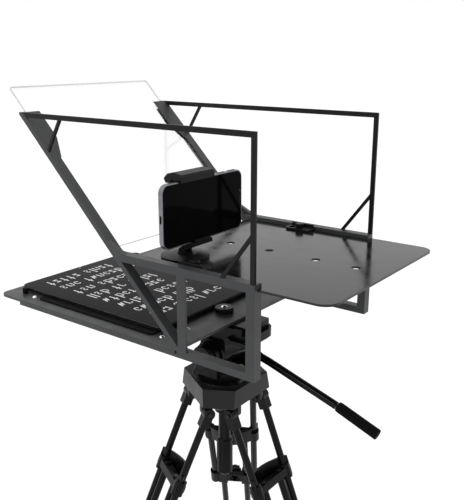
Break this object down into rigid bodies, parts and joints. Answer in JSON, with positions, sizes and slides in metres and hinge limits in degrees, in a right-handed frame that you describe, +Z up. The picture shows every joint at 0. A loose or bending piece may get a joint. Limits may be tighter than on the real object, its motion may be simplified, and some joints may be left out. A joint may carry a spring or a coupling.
{
  "type": "teleprompter",
  "caption": "Tripod-mounted teleprompter: slanted beam-splitter glass over a tablet tray, with a rear camera platform holding a clamped phone, on a fluid head with a pan bar.",
  "frame": {"origin": "on the floor, under the centre of the whole part's bounding box", "axes": "+Z up, -Y towards the person being filmed (tablet side), +Y towards the operator, +X the side with the phone stand, the right hand of an operator looking along -Y is -X"},
  "size_m": [0.5464, 0.622, 1.063],
  "materials": {
    "frame_grey": "satin powder coat",
    "hood_black": "satin black",
    "deck_grey": "smooth semi-gloss coat",
    "glass": "half-silvered beam splitter, clear",
    "rubber": "matt",
    "chrome": "polished",
    "black_plastic": "fine grain",
    "device_dark": "anodised dark grey",
    "device_silver": "anodised silver",
    "screen_glass": "polished black glass",
    "head_black": "satin black casting",
    "crown_grey": "satin grey casting",
    "tube_black": "black anodised tube",
    "steel": "brushed"
  },
  "bodies": {
    "tripod_base": {"tripod_crown": "crown_grey", "crown_core": "crown_grey", "hinge_ears": "crown_grey", "hinge_bolts": "steel", "bowl_rim": "crown_grey", "pan_base": "head_black"},
    "pan_turn": {"pan_yoke": "head_black", "bubble_level": "steel"},
    "tilt_turn": {"tilt_drum": "head_black", "head_seat": "head_black"},
    "rig": {"quick_release_plate": "head_black", "tablet_tray": "frame_grey", "tray_rest_strips": "rubber", "tray_screws": "chrome", "tablet_side_stops": "rubber", "lower_frame_right": "frame_grey", "lower_frame_left": "frame_grey", "slant_bar_right": "frame_grey", "slant_bar_left": "frame_grey", "hood_frame_right": "hood_black", "hood_frame_left": "hood_black", "camera_platform": "deck_grey", "platform_ears": "hood_black", "stand_foot": "black_plastic"},
    "glass_panel": {"beam_splitter_glass": "glass"},
    "tray_knob": {"mount_knob": "black_plastic", "mount_knob_cap": "chrome"},
    "thumb_screw_right": {"platform_thumb_screw_right": "black_plastic"},
    "thumb_screw_left": {"platform_thumb_screw_left": "black_plastic"},
    "tablet": {"tablet_body": "device_dark", "tablet_screen": "screen_glass"},
    "stand_swivel": {"stand_neck": "black_plastic"},
    "phone_holder": {"phone_clamp": "black_plastic", "phone_body": "device_silver", "phone_screen": "screen_glass"},
    "upper_jaw": {"phone_clamp_jaw": "black_plastic"},
    "volume_key": {"phone_volume_key": "device_silver"},
    "power_key": {"phone_power_key": "device_silver"},
    "drag_dial": {"tilt_drag_dial": "black_plastic"},
    "seat_lever": {"plate_lock_lever": "black_plastic"},
    "pan_lever": {"pan_lock_lever": "black_plastic"},
    "handle_bar": {"pan_bar": "tube_black", "pan_bar_grip": "rubber"},
    "handle_nut": {"pan_bar_wing_nut": "black_plastic"},
    "tie_down": {"tie_down_handle": "black_plastic"},
    "leg_right": {"leg_tubes_right": "tube_black", "leg_castings_right": "head_black"},
    "lower_right": {"lower_leg_right": "tube_black", "foot_rubber_right": "rubber"},
    "clamp_right": {"leg_clamp_lever_right": "black_plastic"},
    "leg_rear": {"leg_tubes_rear": "tube_black", "leg_castings_rear": "head_black"},
    "lower_rear": {"lower_leg_rear": "tube_black", "foot_rubber_rear": "rubber"},
    "clamp_rear": {"leg_clamp_lever_rear": "black_plastic"},
    "leg_left": {"leg_tubes_left": "tube_black", "leg_castings_left": "head_black"},
    "lower_left": {"lower_leg_left": "tube_black", "foot_rubber_left": "rubber"},
    "clamp_left": {"leg_clamp_lever_left": "black_plastic"}
  },
  "joints": [
    {"name": "pan", "type": "hinge", "parent": "tripod_base", "child": "pan_turn", "pos_m": [0, -0.0021, 0.681], "axis": [0, 0, 1], "continuous": true},
    {"name": "tilt", "type": "hinge", "parent": "pan_turn", "child": "tilt_turn", "pos_m": [0, -0.0021, 0.716], "axis": [1, 0, 0], "range_deg": [-8, 30]},
    {"name": "plate_slide", "type": "slide", "parent": "tilt_turn", "child": "rig", "axis": [0, 1, 0], "range_m": [-0.008, 0.008]},
    {"name": "glass_slide", "type": "slide", "parent": "rig", "child": "glass_panel", "axis": [0, -0.7071, 0.7071], "range_m": [0, 0.12]},
    {"name": "tray_knob_turn", "type": "hinge", "parent": "rig", "child": "tray_knob", "pos_m": [0, -0.0021, 0.771], "axis": [0, 0, 1], "continuous": true},
    {"name": "thumb_turn_right", "type": "hinge", "parent": "rig", "child": "thumb_screw_right", "pos_m": [0.114, 0.0439, 0.871], "axis": [0, 0, 1], "continuous": true},
    {"name": "thumb_turn_left", "type": "hinge", "parent": "rig", "child": "thumb_screw_left", "pos_m": [-0.114, 0.0439, 0.871], "axis": [0, 0, 1], "continuous": true},
    {"name": "tablet_slide", "type": "slide", "parent": "rig", "child": "tablet", "axis": [0, -1, 0], "range_m": [0, 0.2]},
    {"name": "stand_swivel_turn", "type": "hinge", "parent": "rig", "child": "stand_swivel", "pos_m": [0.084, 0.0029, 0.872], "axis": [0, 0, 1], "range_deg": [-15, 15]},
    {"name": "phone_tilt", "type": "hinge", "parent": "stand_swivel", "child": "phone_holder", "pos_m": [0.084, 0.0029, 0.8762], "axis": [1, 0, 0], "range_deg": [-15, 15]},
    {"name": "jaw_slide", "type": "slide", "parent": "phone_holder", "child": "upper_jaw", "axis": [0, 0, 1], "range_m": [0, 0.008], "stiffness_N_per_m": 400, "springref_m": -0.005},
    {"name": "volume_press", "type": "slide", "parent": "phone_holder", "child": "volume_key", "axis": [0, 0, -1], "range_m": [0, 0.0004], "stiffness_N_per_m": 800, "springref_m": -0.0002},
    {"name": "power_press", "type": "slide", "parent": "phone_holder", "child": "power_key", "axis": [0, 0, -1], "range_m": [0, 0.0004], "stiffness_N_per_m": 800, "springref_m": -0.0002},
    {"name": "drag_dial_turn", "type": "hinge", "parent": "pan_turn", "child": "drag_dial", "pos_m": [0.045, -0.0021, 0.716], "axis": [1, 0, 0], "range_deg": [-150, 150]},
    {"name": "seat_lever_turn", "type": "hinge", "parent": "tilt_turn", "child": "seat_lever", "pos_m": [0.035, 0.0319, 0.745], "axis": [1, 0, 0], "range_deg": [-25, 60]},
    {"name": "pan_lever_turn", "type": "hinge", "parent": "pan_turn", "child": "pan_lever", "pos_m": [0, 0.0399, 0.6845], "axis": [0, 1, 0], "range_deg": [-50, 0]},
    {"name": "handle_turn", "type": "hinge", "parent": "tilt_turn", "child": "handle_bar", "pos_m": [-0.048, -0.0021, 0.716], "axis": [1, 0, 0], "range_deg": [0, 45]},
    {"name": "handle_nut_turn", "type": "hinge", "parent": "handle_bar", "child": "handle_nut", "pos_m": [-0.057, -0.0021, 0.716], "axis": [1, 0, 0], "continuous": true},
    {"name": "tie_down_turn", "type": "hinge", "parent": "tripod_base", "child": "tie_down", "pos_m": [0, -0.0021, 0.566], "axis": [0, 0, 1], "continuous": true},
    {"name": "leg_fold_right", "type": "hinge", "parent": "tripod_base", "child": "leg_right", "pos_m": [0.03334, -0.02135, 0.64], "axis": [0.5, 0.866, 0], "range_deg": [0, 16]},
    {"name": "leg_extend_right", "type": "slide", "parent": "leg_right", "child": "lower_right", "axis": [0.3314, -0.1913, -0.9239], "range_m": [-0.06, 0.08]},
    {"name": "clamp_lever_right", "type": "hinge", "parent": "leg_right", "child": "clamp_right", "pos_m": [0.11432, -0.0681, 0.44169], "axis": [0.5, 0.866, 0], "range_deg": [-80, 0]},
    {"name": "leg_fold_rear", "type": "hinge", "parent": "tripod_base", "child": "leg_rear", "pos_m": [0, 0.0364, 0.64], "axis": [-1, 0, 0], "range_deg": [0, 16]},
    {"name": "leg_extend_rear", "type": "slide", "parent": "leg_rear", "child": "lower_rear", "axis": [0, 0.3827, -0.9239], "range_m": [-0.06, 0.08]},
    {"name": "clamp_lever_rear", "type": "hinge", "parent": "leg_rear", "child": "clamp_rear", "pos_m": [0, 0.12991, 0.44169], "axis": [-1, 0, 0], "range_deg": [-80, 0]},
    {"name": "leg_fold_left", "type": "hinge", "parent": "tripod_base", "child": "leg_left", "pos_m": [-0.03334, -0.02135, 0.64], "axis": [0.5, -0.866, 0], "range_deg": [0, 16]},
    {"name": "leg_extend_left", "type": "slide", "parent": "leg_left", "child": "lower_left", "axis": [-0.3314, -0.1913, -0.9239], "range_m": [-0.06, 0.08]},
    {"name": "clamp_lever_left", "type": "hinge", "parent": "leg_left", "child": "clamp_left", "pos_m": [-0.11432, -0.0681, 0.44169], "axis": [0.5, -0.866, 0], "range_deg": [-80, 0]}
  ]
}
